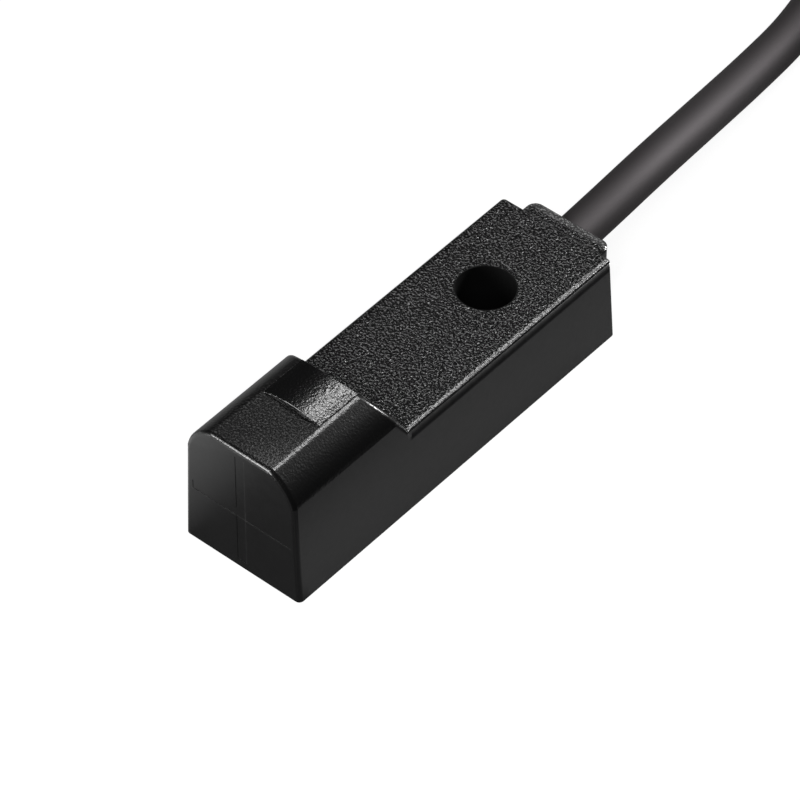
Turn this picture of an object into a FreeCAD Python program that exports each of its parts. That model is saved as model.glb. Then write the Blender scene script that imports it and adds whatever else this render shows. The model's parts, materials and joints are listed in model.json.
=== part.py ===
# Square inductive proximity switch with a moulded housing, one mounting hole and a fixed cable.
# Lengths are in millimetres, angles in degrees. X is the width, Y the length and Z is up.
# The sensing face looks towards -Y and the cable leaves towards +Y.
# Every piece is drawn with Y counted from the sensing face, and then moved by half the overall
# length, so that the origin lies under the middle of the switch, on the surface it stands on.
import FreeCAD
import Part
import Sketcher
import math
import os

os.makedirs("parts", exist_ok=True)
doc = FreeCAD.newDocument("proximity_switch")
sheet = doc.addObject("Spreadsheet::Sheet", "Sizes")

DRIVING = (
    ("body_width", 8.1, "width across the open underside"),
    ("body_length", 26.4, "length at the underside, without the cable boss"),
    ("body_height", 5.75, "height of the low mounting part"),
    ("side_draft", 2.18, "lean of each side wall"),
    ("rear_draft", 2.7, "lean of the rear wall"),
    ("wall", 0.75, "wall of the moulding"),
    ("corner_radius", 0.25, "rear corners"),
    ("top_edge_radius", 0.12, "edges of the low top"),
    ("face_radius", 0.3, "edge round the sensing face"),
    ("head_height", 8.83, "height of the flat on the head"),
    ("shoulder_height", 6.9, "height where the shoulders start"),
    ("shoulder_reach", 2.0, "from the foot of a side in to the flat top of the head"),
    ("shoulder_radius", 2.6, "round of the shoulders"),
    ("ramp_foot", 9.22, "sensing face to the foot of the ramp"),
    ("ramp_angle", 57.0, "slope of the ramp behind the head"),
    ("ramp_radius", 0.35, "edge round the ramp"),
    ("hole_setback", 6.37, "hole centre to the rear end"),
    ("hole_diameter", 3.4, "clearance hole for a screw of 3"),
    ("tube_wall", 0.5, "wall of the tube round the hole"),
    ("boss_width", 5.5, "width of the cable boss"),
    ("boss_height", 5.35, "height of the cable boss"),
    ("boss_length", 1.1, "length of the cable boss"),
    ("boss_radius", 0.6, "upright corners of the cable boss"),
    ("boss_edge", 0.15, "bevel of the top edge of the cable boss"),
    ("sense_height", 4.15, "height of the sensing axis"),
    ("mark_depth", 0.05, "depth of the centring cross"),
    ("mark_width", 0.62, "width of the bands of the cross"),
    ("mark_margin", 0.5, "end of a band to the edge of the face"),
    ("window_front", 4.09, "sensing face to the front of the window"),
    ("window_margin", 0.12, "from the edge of the flat top to the indicator window"),
    ("window_rise", 0.36, "crown of the window above the flat"),
    ("window_step", 0.03, "height of the window's sides above the flat"),
    ("window_gap", 0.02, "play of the window in its opening"),
    ("window_edge", 0.05, "rounded edge of the window"),
    ("lip_width", 0.45, "lip of the window under the wall"),
    ("lip_height", 0.4, "thickness of the lip"),
    ("guide_width", 2.4, "width of the light guide"),
    ("guide_length", 1.3, "length of the light guide"),
    ("guide_inset", 0.9, "front of the window to the light guide"),
    ("light_gap", 0.25, "lamp to the light guide"),
    ("resin_recess", 0.12, "resin below the rim"),
    ("core_diameter", 5.9, "pot core"),
    ("core_length", 2.6, "pot core"),
    ("core_wall", 0.45, "round wall of the pot core"),
    ("core_back", 0.6, "back of the pot core"),
    ("post_diameter", 1.8, "middle post of the pot core"),
    ("core_slot", 1.3, "slot for the coil leads"),
    ("spool_gap", 0.05, "play of the spool on the core"),
    ("spool_wall", 0.15, "barrel of the spool"),
    ("flange", 0.2, "flanges of the spool"),
    ("winding_depth", 0.2, "winding below the rim of the flanges"),
    ("lead_diameter", 0.14, "enamelled coil lead"),
    ("lead_spacing", 0.7, "between the two coil leads"),
    ("board_top", 4.0, "height of the upper face of the board"),
    ("board_thickness", 0.6, "circuit board"),
    ("board_gap", 0.1, "board to the walls"),
    ("board_clear", 0.5, "board to the pot core and to the tube"),
    ("stop_width", 0.5, "ribs that stop the board"),
    ("lamp_width", 1.6, "indicator lamp"),
    ("lamp_depth", 0.8, "indicator lamp"),
    ("lamp_height", 0.6, "indicator lamp"),
    ("chip_size", 3.0, "oscillator chip"),
    ("chip_height", 0.85, "oscillator chip"),
    ("capacitor_length", 1.6, "chip capacitors"),
    ("capacitor_width", 0.8, "chip capacitors"),
    ("resistor_length", 1.0, "chip resistors"),
    ("resistor_width", 0.5, "chip resistors"),
    ("resistor_height", 0.35, "chip resistors"),
    ("transistor_length", 2.9, "output transistor"),
    ("transistor_width", 1.3, "output transistor"),
    ("transistor_height", 1.0, "output transistor"),
    ("leg_width", 0.4, "legs of the transistor"),
    ("leg_reach", 0.55, "legs of the transistor"),
    ("leg_thickness", 0.15, "legs of the transistor"),
    ("diode_length", 1.7, "diodes"),
    ("diode_width", 1.25, "diodes"),
    ("diode_height", 0.9, "diodes"),
    ("cable_diameter", 2.5, "jacket of the cable"),
    ("cable_height", 3.85, "cable axis at the rear wall"),
    ("bore_gap", 0.05, "play of the cable in its bore"),
    ("jacket_end", 2.4, "jacket end to the rear end"),
    ("ring_length", 0.8, "crimp ring on the jacket"),
    ("ring_wall", 0.25, "crimp ring on the jacket"),
    ("ring_bevel", 0.12, "crimp ring on the jacket"),
    ("wire_diameter", 0.8, "insulated wires of the cable"),
    ("strand_diameter", 0.45, "bared end of a wire"),
    ("wire_gap", 0.04, "between the wires inside the jacket"),
    ("strand_length", 1.05, "bared end of a wire"),
    ("joint_foot", 1.2, "solder joint of a wire"),
    ("joint_height", 0.75, "solder joint of a wire"),
    ("bead_foot", 0.55, "solder joint of a coil lead"),
    ("bead_height", 0.28, "solder joint of a coil lead"),
    ("tie_thickness", 0.4, "ties round the coil"),
    ("tie_width", 2.6, "ties round the coil"),
    ("coil_diameter", 27.5, "coil at the middle of its turns"),
    ("coil_columns", 4.0, "turns beside each other"),
    ("coil_layers", 3.0, "turns on each other"),
    ("tip_length", 3.0, "tinned tips of the wires"),
    ("tip_diameter", 0.5, "tinned tips of the wires"),
)
for row, (alias, value, meaning) in enumerate(DRIVING, 1):
    sheet.set(f"A{row}", alias)
    sheet.set(f"B{row}", str(value))
    sheet.set(f"C{row}", meaning)
    sheet.setAlias(f"B{row}", alias)
doc.recompute()


class Size:
    """A size worked out from the sheet: its present number, and the expression that binds it."""

    def __init__(self, number, text):
        self.number = float(number)
        self.text = text

    def __add__(self, other):
        other = as_size(other)
        return Size(self.number + other.number, f"({self.text} + {other.text})")

    def __sub__(self, other):
        other = as_size(other)
        return Size(self.number - other.number, f"({self.text} - {other.text})")

    def __mul__(self, factor):
        factor = as_size(factor)
        return Size(self.number * factor.number, f"({self.text} * {factor.text})")

    def __truediv__(self, divisor):
        divisor = as_size(divisor)
        return Size(self.number / divisor.number, f"({self.text} / {divisor.text})")

    def __neg__(self):
        return Size(-self.number, f"(0 - {self.text})")


def as_size(value):
    return value if isinstance(value, Size) else Size(value, repr(float(value)))


def slope(angle):
    """Rise of a line at this angle for each unit along it."""
    return Size(math.tan(math.radians(angle.number)), f"tan({angle.text})")


class Sheet:
    """Sizes by their names in the sheet, such as cell.wall."""

    def __getattr__(self, alias):
        return Size(sheet.get(alias), f"Sizes.{alias}")


cell = Sheet()
ZERO = as_size(0)
PIECES = []

# Places that several pieces share, with Y counted from the sensing face.
OVERALL = cell.body_length + cell.boss_length
HALF_WIDTH = cell.body_width / 2
HOLE_Y = cell.body_length - cell.hole_setback
TUBE_RADIUS = cell.hole_diameter / 2 + cell.tube_wall
INNER_REAR = cell.body_length - slope(cell.rear_draft) * cell.cable_height - cell.wall
SEAT = cell.head_height - cell.wall
WINDOW_HALF = HALF_WIDTH - cell.shoulder_reach - cell.window_margin
BOARD_LOW = cell.board_top - cell.board_thickness
BOARD_HALF = HALF_WIDTH - cell.wall - slope(cell.side_draft) * cell.board_top - cell.board_gap
BOARD_FRONT = cell.wall + cell.core_length + cell.board_clear
BOARD_REAR = HOLE_Y - TUBE_RADIUS - cell.board_clear
LAMP_TOP = cell.board_top + cell.lamp_height
LAMP_Y = cell.window_front + cell.guide_inset + cell.guide_length / 2
CHIP_Y = cell.ramp_foot + cell.chip_size / 2 + cell.board_gap * 3
CABLE_RADIUS = cell.cable_diameter / 2
RING_RADIUS = CABLE_RADIUS + cell.ring_wall
JACKET_END = cell.body_length - cell.jacket_end
RELIEF_FRONT = JACKET_END - cell.wire_diameter / 2


def side_at(height):
    """Half width of the drafted outside at a height."""
    return HALF_WIDTH - slope(cell.side_draft) * height


def ramp_at(height):
    """Distance of the ramp from the sensing face at a height."""
    return cell.ramp_foot - (height - cell.body_height) / slope(cell.ramp_angle)


def rear_at(height):
    """Distance of the rear wall from the sensing face at a height."""
    return cell.body_length - slope(cell.rear_draft) * height


# Helpers that bind an object's properties to the sheet.
def bind(item, **properties):
    for name, value in properties.items():
        item.setExpression(name, as_size(value).text)


def place(item, x, y, z):
    """Puts an item at x, y, z, with y counted from the sensing face."""
    item.setExpression("Placement.Base.x", as_size(x).text)
    item.setExpression("Placement.Base.y", (as_size(y) - OVERALL / 2).text)
    item.setExpression("Placement.Base.z", as_size(z).text)


def finish(item, label):
    item.Label = label
    PIECES.append(item)
    return item


def new_body(label, x=ZERO, y=ZERO, z=ZERO):
    body = doc.addObject("PartDesign::Body", "Body_" + label)
    place(body, x, y, z)
    return finish(body, label)


def new_sketch(body, plane, rise=None):
    """A sketch on one of the body's origin planes, or on a plane raised along its normal."""
    sketch = body.newObject("Sketcher::SketchObject", "Outline")
    datum = next(item for item in body.Origin.OriginFeatures if item.Role == plane)
    sketch.AttachmentSupport = (datum, "")
    sketch.MapMode = "FlatFace"
    if rise is not None:
        sketch.setExpression("AttachmentOffset.Base.z", rise.text)
    return sketch


def fix_point(sketch, edge, end, point):
    for kind, value in zip(("DistanceX", "DistanceY"), point):
        value = as_size(value)
        rule = sketch.addConstraint(Sketcher.Constraint(kind, -1, 1, edge, end, value.number))
        sketch.setExpression(f"Constraints[{rule}]", value.text)


def draw_arc(sketch, start, end, radius):
    """An arc that bulges to the right of its way from start to end; says which end it starts at."""
    ax, ay = (as_size(value).number for value in start)
    bx, by = (as_size(value).number for value in end)
    chord = math.hypot(bx - ax, by - ay)
    back = math.sqrt(max(radius.number**2 - chord**2 / 4, 0))
    cx = (ax + bx) / 2 - back * (by - ay) / chord
    cy = (ay + by) / 2 + back * (bx - ax) / chord
    circle = Part.Circle(FreeCAD.Vector(cx, cy, 0), FreeCAD.Vector(0, 0, 1), radius.number)
    first = math.atan2(ay - cy, ax - cx)
    last = math.atan2(by - cy, bx - cx)
    edge = sketch.addGeometry(Part.ArcOfCircle(circle, first, last))
    rule = sketch.addConstraint(Sketcher.Constraint("Radius", edge, radius.number))
    sketch.setExpression(f"Constraints[{rule}]", radius.text)


def outline(sketch, points, arcs=None):
    """A closed outline, anticlockwise. arcs gives a radius for each stretch that is round."""
    arcs = arcs or {}
    count = len(points)
    first = sketch.GeometryCount
    for index, point in enumerate(points):
        following = points[(index + 1) % count]
        if index in arcs:
            draw_arc(sketch, point, following, arcs[index])
        else:
            ends = [FreeCAD.Vector(*(as_size(v).number for v in p), 0) for p in (point, following)]
            sketch.addGeometry(Part.LineSegment(*ends))
    for index, point in enumerate(points):
        edge = first + index
        after = first + (index + 1) % count
        sketch.addConstraint(Sketcher.Constraint("Coincident", edge, 2, after, 1))
        fix_point(sketch, edge, 1, point)


def rectangle(sketch, left, low, right, high):
    outline(sketch, ((left, low), (right, low), (right, high), (left, high)))


def round_outline(sketch, x, y, diameter):
    centre = FreeCAD.Vector(as_size(x).number, as_size(y).number, 0)
    circle = Part.Circle(centre, FreeCAD.Vector(0, 0, 1), diameter.number / 2)
    edge = sketch.addGeometry(circle)
    fix_point(sketch, edge, 3, (x, y))
    rule = sketch.addConstraint(Sketcher.Constraint("Diameter", edge, diameter.number))
    sketch.setExpression(f"Constraints[{rule}]", diameter.text)


def feature(body, kind, sketch, length=None, reverse=False, both=False):
    """A pad or pocket; without a length it goes through everything."""
    item = body.newObject("PartDesign::" + kind, kind)
    item.Profile = sketch
    item.Reversed = reverse
    if both:
        item.SideType = "Symmetric"
    if length is None:
        item.Type = "ThroughAll"
    else:
        bind(item, Length=length)
    doc.recompute()
    return item


def pad(body, sketch, length, reverse=False, both=False):
    return feature(body, "Pad", sketch, length, reverse, both)


def pocket(body, sketch, length=None, reverse=False, both=False):
    before = body.Tip.Shape.Volume
    item = feature(body, "Pocket", sketch, length, reverse, both)
    if item.Shape.Volume >= before:
        raise RuntimeError(f"{body.Label}: a pocket cuts nothing")
    return item


def turned(label, height, points):
    """A piece turned about a line along Y; its points are radius and Y from the sensing face."""
    body = new_body(label, z=height)
    sketch = new_sketch(body, "XY_Plane")
    outline(sketch, points)
    item = body.newObject("PartDesign::Revolution", "Turned")
    item.Profile = sketch
    item.ReferenceAxis = (sketch, ["V_Axis"])
    item.Angle = 360
    doc.recompute()
    return body


def edges_where(item, test):
    """Names of the edges above the rim whose ends and middle all pass a test."""
    names = []
    for index, edge in enumerate(item.Shape.Edges, 1):
        middle = edge.valueAt((edge.FirstParameter + edge.LastParameter) / 2)
        spots = [vertex.Point for vertex in edge.Vertexes] + [middle]
        if all(test(spot) for spot in spots) and not all(is_bottom(spot) for spot in spots):
            names.append(f"Edge{index}")
    return names


def fillet(body, radius, test, bevel=False):
    """Rounds, or bevels, the edges that pass a test."""
    base = body.Tip
    names = edges_where(base, test)
    if not names:
        raise RuntimeError(f"{body.Label}: no edge to round")
    item = body.newObject("PartDesign::Chamfer" if bevel else "PartDesign::Fillet", "Eased")
    item.Base = (base, names)
    bind(item, **{"Size" if bevel else "Radius": radius})
    doc.recompute()
    return item


def block(x, y, z, length, width, height, label=None):
    """A box with its lowest corner at x, y, z, with y counted from the sensing face."""
    item = doc.addObject("Part::Box", "Block")
    bind(item, Length=length, Width=width, Height=height)
    place(item, x, y, z)
    return finish(item, label) if label else item


def mound(x, y, z, foot, height, down=False):
    """A four-sided heap of solder on its pad, point up or point down."""
    item = doc.addObject("Part::Wedge", "Mound")
    low = as_size(foot) / 2
    high = as_size(foot) / 5
    bind(item, Xmin=-low, Xmax=low, Zmin=-low, Zmax=low, Ymin=ZERO, Ymax=height)
    bind(item, X2min=-high, X2max=high, Z2min=-high, Z2max=high)
    item.Placement.Rotation = FreeCAD.Rotation(FreeCAD.Vector(1, 0, 0), -90 if down else 90)
    place(item, x, y, z)
    return item


def group(label, items):
    """Like pieces that share one node as separate solids."""
    item = doc.addObject("Part::Compound", "Group")
    item.Links = items
    return finish(item, label)


def solid(label, shape):
    """A piece whose shape is worked out above, in place."""
    item = doc.addObject("Part::Feature", "Solid_" + label)
    item.Shape = shape
    return finish(item, label)


def at(x, y, z):
    """A point in the switch's frame, with y counted from the sensing face."""
    x, y, z = (as_size(value).number for value in (x, y, z))
    return FreeCAD.Vector(x, y - OVERALL.number / 2, z)


def is_near(value, target, play=0.02):
    return abs(value - target.number) < play


# Housing: one moulding, open underneath, with a raised head over the coil.
def head_section():
    """Half section across the head, mirrored: straight drafted sides, round shoulders, flat top."""
    low = side_at(ZERO)
    high = side_at(cell.shoulder_height)
    crown = HALF_WIDTH - cell.shoulder_reach
    right = [(low, ZERO), (high, cell.shoulder_height), (crown, cell.head_height)]
    left = [(-x, z) for x, z in reversed(right)]
    return right + left


def rear_cut():
    """Side view of what is taken away behind the head, above the low part and behind the rear."""
    above = cell.head_height + cell.window_rise * 2
    beyond = cell.body_length * 1.2
    return [
        (rear_at(ZERO), ZERO - cell.wall),
        (beyond, ZERO - cell.wall),
        (beyond, above),
        (ramp_at(above), above),
        (cell.ramp_foot, cell.body_height),
        (rear_at(cell.body_height), cell.body_height),
        (rear_at(ZERO), ZERO),
    ]


def make_housing():
    body = new_body("housing")
    section = new_sketch(body, "XZ_Plane")
    outline(section, head_section(), {1: cell.shoulder_radius, 3: cell.shoulder_radius})
    pad(body, section, cell.body_length, reverse=True)
    side = new_sketch(body, "YZ_Plane")
    outline(side, rear_cut())
    envelope = pocket(body, side, both=True)

    shell = body.newObject("PartDesign::Thickness", "Shell")
    faces = enumerate(envelope.Shape.Faces, 1)
    shell.Base = (envelope, [f"Face{n}" for n, face in faces if is_near(face.CenterOfMass.z, ZERO)])
    shell.Reversed = True
    shell.Join = "Intersection"
    bind(shell, Value=cell.wall)
    doc.recompute()
    cavity = envelope.Shape.cut(shell.Shape)

    fillet(body, cell.face_radius, lambda p: is_near(p.y, ZERO))
    fillet(body, cell.ramp_radius, is_ramp_edge)
    fillet(body, cell.corner_radius, is_rear_corner)
    fillet(body, cell.top_edge_radius, is_low_top_edge)

    boss = new_sketch(body, "XZ_Plane", -(cell.body_length - cell.wall))
    rectangle(boss, -cell.boss_width / 2, ZERO, cell.boss_width / 2, cell.boss_height)
    pad(body, boss, cell.boss_length + cell.wall, reverse=True)
    fillet(body, cell.boss_radius, is_boss_corner)
    fillet(body, cell.boss_edge, is_boss_top, bevel=True)

    ring = new_sketch(body, "XY_Plane")
    round_outline(ring, ZERO, HOLE_Y, TUBE_RADIUS * 2)
    pad(body, ring, cell.body_height - cell.wall / 2)
    for side_sign in (-1, 1):
        for far in (False, True):
            make_stop(body, side_sign, far)
    hole = new_sketch(body, "XY_Plane")
    round_outline(hole, ZERO, HOLE_Y, cell.hole_diameter)
    pocket(body, hole, both=True)

    bore = new_sketch(body, "XZ_Plane", -(INNER_REAR - cell.wall))
    round_outline(bore, ZERO, cell.cable_height, (CABLE_RADIUS + cell.bore_gap) * 2)
    pocket(body, bore, cell.wall * 4 + cell.boss_length)
    relief = new_sketch(body, "XZ_Plane", -RELIEF_FRONT)
    round_outline(relief, ZERO, cell.cable_height, (RING_RADIUS + cell.bore_gap) * 2)
    pocket(body, relief, INNER_REAR - RELIEF_FRONT)

    opening = new_sketch(body, "XY_Plane", SEAT)
    half = WINDOW_HALF + cell.window_gap
    rectangle(opening, -half, cell.window_front - cell.window_gap, half, cell.ramp_foot * 1.2)
    pocket(body, opening, cell.wall * 4, reverse=True)

    make_mark(body)
    return body, cavity


def is_bottom(p):
    return is_near(p.z, ZERO)


def is_rear_corner(p):
    rear = abs(p.y - (cell.body_length.number - p.z * slope(cell.rear_draft).number)) < 0.02
    side = abs(abs(p.x) - (HALF_WIDTH.number - p.z * slope(cell.side_draft).number)) < 0.02
    return rear and side


def is_low_top_edge(p):
    half = side_at(cell.body_height).number - cell.corner_radius.number
    rear = rear_at(cell.body_height).number - cell.corner_radius.number
    outside = abs(p.x) > half - 0.02 or p.y > rear - 0.02
    return is_near(p.z, cell.body_height) and outside and p.y > cell.ramp_foot.number - 0.02


def is_ramp_edge(p):
    on_ramp = abs(p.y - ramp_at(as_size(p.z)).number) < 0.02
    return on_ramp and p.z > cell.body_height.number - 0.02 and not is_foot(p)


def is_foot(p):
    return is_near(p.z, cell.body_height) and abs(p.x) < side_at(cell.body_height).number - 0.3


def is_boss_corner(p):
    return is_near(abs(p.x), cell.boss_width / 2) and is_near(p.y, OVERALL)


def is_boss_top(p):
    return is_near(p.z, cell.boss_height) and p.y > cell.body_length.number


def make_stop(body, side_sign, far):
    """A rib from the top wall down to the board, close to one of its corners."""
    y = CHIP_Y + cell.chip_size - cell.capacitor_length if far else cell.ramp_foot + cell.stop_width
    rib = new_sketch(body, "XY_Plane", cell.board_top)
    outer = side_at(cell.board_top) - cell.wall / 2
    inner = BOARD_HALF - cell.stop_width
    left, right = (inner, outer) if side_sign > 0 else (-outer, -inner)
    rectangle(rib, left, y, right, y + cell.stop_width)
    pad(body, rib, cell.body_height - cell.wall / 2 - cell.board_top)


def make_mark(body):
    """The shallow centring cross on the sensing face."""
    upright = new_sketch(body, "XZ_Plane")
    half = cell.mark_width / 2
    top = cell.head_height - cell.mark_margin
    rectangle(upright, -half, cell.mark_margin, half, top)
    pocket(body, upright, cell.mark_depth)
    level = new_sketch(body, "XZ_Plane")
    reach = side_at(cell.sense_height) - cell.mark_margin
    rectangle(level, -reach, cell.sense_height - half, reach, cell.sense_height + half)
    pocket(body, level, cell.mark_depth)


# Window: a smoked insert whose domed top carries the light of the lamp.
def make_window():
    body = new_body("indicator_window")
    lip = new_sketch(body, "XY_Plane", SEAT - cell.lip_height)
    half = WINDOW_HALF - cell.wall / 3
    front = cell.window_front - cell.lip_width
    back = ramp_at(SEAT) - cell.wall * 1.4
    rectangle(lip, -half, front, half, back)
    pad(body, lip, cell.lip_height)

    dome = new_sketch(body, "XZ_Plane", -cell.window_front)
    side = cell.head_height + cell.window_step
    rise = cell.window_rise - cell.window_step
    round_top = WINDOW_HALF * WINDOW_HALF / (rise * 2) + rise / 2
    corners = [(-WINDOW_HALF, SEAT), (WINDOW_HALF, SEAT), (WINDOW_HALF, side), (-WINDOW_HALF, side)]
    outline(dome, corners, {2: round_top})
    pad(body, dome, cell.ramp_foot - cell.window_front, reverse=True)

    slant = new_sketch(body, "YZ_Plane")
    above = cell.head_height + cell.window_rise * 2
    below = SEAT - cell.wall
    beyond = cell.ramp_foot * 1.3
    corners = [(ramp_at(below), below), (beyond, below), (beyond, above), (ramp_at(above), above)]
    outline(slant, corners)
    pocket(body, slant, both=True)
    fillet(body, cell.window_edge, is_window_edge)

    guide = new_sketch(body, "XY_Plane", LAMP_TOP + cell.light_gap)
    start = cell.window_front + cell.guide_inset
    rectangle(guide, -cell.guide_width / 2, start, cell.guide_width / 2, start + cell.guide_length)
    pad(body, guide, SEAT - cell.lip_height - LAMP_TOP - cell.light_gap)


def is_window_edge(p):
    high = p.z > cell.head_height.number + cell.window_step.number - 0.02
    front = is_near(p.y, cell.window_front)
    rear = abs(p.y - ramp_at(as_size(p.z)).number) < 0.02
    return high and (front or rear)


# Sensing coil: a ferrite pot core round a wound spool, open towards the sensing face.
def make_coil():
    front = cell.wall
    back = front + cell.core_length
    floor = back - cell.core_back
    outer = cell.core_diameter / 2
    cup = outer - cell.core_wall
    post = cell.post_diameter / 2
    core = turned("ferrite_core", cell.sense_height, [
        (ZERO, front), (post, front), (post, floor), (cup, floor),
        (cup, front), (outer, front), (outer, back), (ZERO, back),
    ])
    barrel = post + cell.spool_gap
    rim = cup - cell.spool_gap
    wound = barrel + cell.spool_wall
    near = front + cell.spool_gap
    far = floor
    spool = turned("coil_spool", cell.sense_height, [
        (barrel, near), (rim, near), (rim, near + cell.flange), (wound, near + cell.flange),
        (wound, far - cell.flange), (rim, far - cell.flange), (rim, far), (barrel, far),
    ])
    turned("coil_winding", cell.sense_height, [
        (wound, near + cell.flange), (rim - cell.winding_depth, near + cell.flange),
        (rim - cell.winding_depth, far - cell.flange), (wound, far - cell.flange),
    ])
    low = rim - cell.winding_depth - cell.lead_diameter / 4
    for body, start in ((core, floor), (spool, far - cell.flange)):
        slot = new_sketch(body, "XZ_Plane", -start)
        rectangle(slot, -cell.core_slot / 2, low, cell.core_slot / 2, cell.core_diameter)
        pocket(body, slot, cell.core_length)
    return cell.sense_height + rim - cell.winding_depth + cell.lead_diameter * 0.55, far


# Lines of straight runs joined by tangent arcs, for wires and for the cable.
# Wires and the cable's jacket have flat sides, so that the model stays light.
THIN_SIDES = 6
JACKET_SIDES = 24


def rounded_path(points, share=0.45, report=None):
    """Edges through the points; each corner's arc is as large as its two runs allow."""
    edges = []
    radii = []
    start = points[0]
    for before, corner, after in zip(points, points[1:], points[2:]):
        into = (corner - before).normalize()
        out = (after - corner).normalize()
        half_turn = into.getAngle(out) / 2
        cut = share * min((corner - before).Length, (after - corner).Length)
        radius = cut / math.tan(half_turn)
        first = corner - into * cut
        last = corner + out * cut
        inward = (out - into).normalize()
        middle = corner + inward * (radius / math.cos(half_turn) - radius)
        edges.append(Part.LineSegment(start, first).toShape())
        edges.append(Part.Arc(first, middle, last).toShape())
        radii.append(radius)
        start = last
    edges.append(Part.LineSegment(start, points[-1]).toShape())
    if report:
        print(report, "radii", [round(radius, 1) for radius in radii])
    return Part.Wire(edges)


def wire_along(path, diameter, sides=None):
    """A solid along a path, round or with flat sides; its volume is compared with section times length."""
    edge = path.OrderedEdges[0]
    start = edge.valueAt(edge.FirstParameter)
    circle = Part.Circle(start, edge.tangentAt(edge.FirstParameter), diameter / 2)
    section = math.pi * diameter**2 / 4
    ring = Part.Wire(circle.toShape())
    if sides:
        corners = [circle.value(2 * math.pi * index / sides) for index in range(sides)]
        ring = Part.makePolygon(corners + corners[:1])
        section = sides * diameter**2 / 8 * math.sin(2 * math.pi / sides)
    shape = path.makePipeShell([ring], True, False)
    expected = section * path.Length
    if abs(shape.Volume - expected) > 0.02 * expected:
        raise RuntimeError(f"a wire holds {shape.Volume} and should hold {expected}")
    return shape


def make_coil_leads(height, start):
    """Two enamelled wires from the winding, over the core's back, down to the board."""
    wires = []
    ends = []
    for side_sign in (-1, 1):
        x = cell.lead_spacing * 0.5 * side_sign
        down = BOARD_FRONT + cell.bead_foot / 2
        drop = cell.board_top + cell.bead_height / 2
        points = [
            at(x, start - cell.flange * 2, height),
            at(x, BOARD_FRONT - cell.board_clear / 2, height),
            at(x, down, height - cell.board_clear),
            at(x, down, drop),
        ]
        wires.append(wire_along(rounded_path(points), cell.lead_diameter.number, THIN_SIDES))
        ends.append((x, down))
    solid("coil_leads", Part.makeCompound(wires))
    return ends


# Circuit board with what is soldered on it.
def on_board(x, y, length, width, height, below=False, label=None):
    """A box centred at x, y on the board's upper or lower face."""
    z = BOARD_LOW - height if below else cell.board_top
    x = as_size(x) - as_size(length) / 2
    y = as_size(y) - as_size(width) / 2
    return block(x, y, z, length, width, height, label)


def make_board():
    block(-BOARD_HALF, BOARD_FRONT, BOARD_LOW, BOARD_HALF * 2, BOARD_REAR - BOARD_FRONT,
          cell.board_thickness, "circuit_board")
    on_board(ZERO, LAMP_Y, cell.lamp_width, cell.lamp_depth, cell.lamp_height, label="indicator_lamp")
    on_board(ZERO, CHIP_Y, cell.chip_size, cell.chip_size, cell.chip_height, label="oscillator_chip")

    lane = BOARD_HALF - cell.capacitor_width
    rows = (LAMP_Y + cell.capacitor_length, CHIP_Y + cell.chip_size)
    group("chip_capacitors", [
        on_board(lane * side_sign, y, cell.capacitor_width, cell.capacitor_length,
                 cell.capacitor_width)
        for side_sign in (-1, 1) for y in rows
    ])
    first = LAMP_Y
    pitch = cell.resistor_width * 2.4
    group("chip_resistors", [
        on_board(ZERO, first + pitch * index, cell.resistor_length, cell.resistor_width,
                 cell.resistor_height, below=True)
        for index in range(5)
    ])
    diode_lane = BOARD_HALF / 1.7
    sizes = (cell.diode_width, cell.diode_length, cell.diode_height)
    on_board(-diode_lane, CHIP_Y, *sizes, below=True, label="reverse_diode")
    on_board(diode_lane, CHIP_Y, *sizes, below=True, label="surge_diode")
    make_transistor(CHIP_Y + cell.chip_size)


def make_transistor(y):
    """The output transistor under the board: a moulded block with one leg and two legs."""
    sizes = (cell.transistor_length, cell.transistor_width, cell.transistor_height)
    items = [on_board(ZERO, y, *sizes, below=True)]
    spread = cell.transistor_length / 3
    for x, way in ((ZERO, 1), (spread, -1), (-spread, -1)):
        middle = y + (cell.transistor_width + cell.leg_reach) / 2 * way
        foot = on_board(x, middle, cell.leg_width, cell.leg_reach, cell.leg_thickness, below=True)
        items.append(foot)
    body = doc.addObject("Part::MultiFuse", "Transistor")
    body.Shapes = items
    finish(body, "output_transistor")


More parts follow.
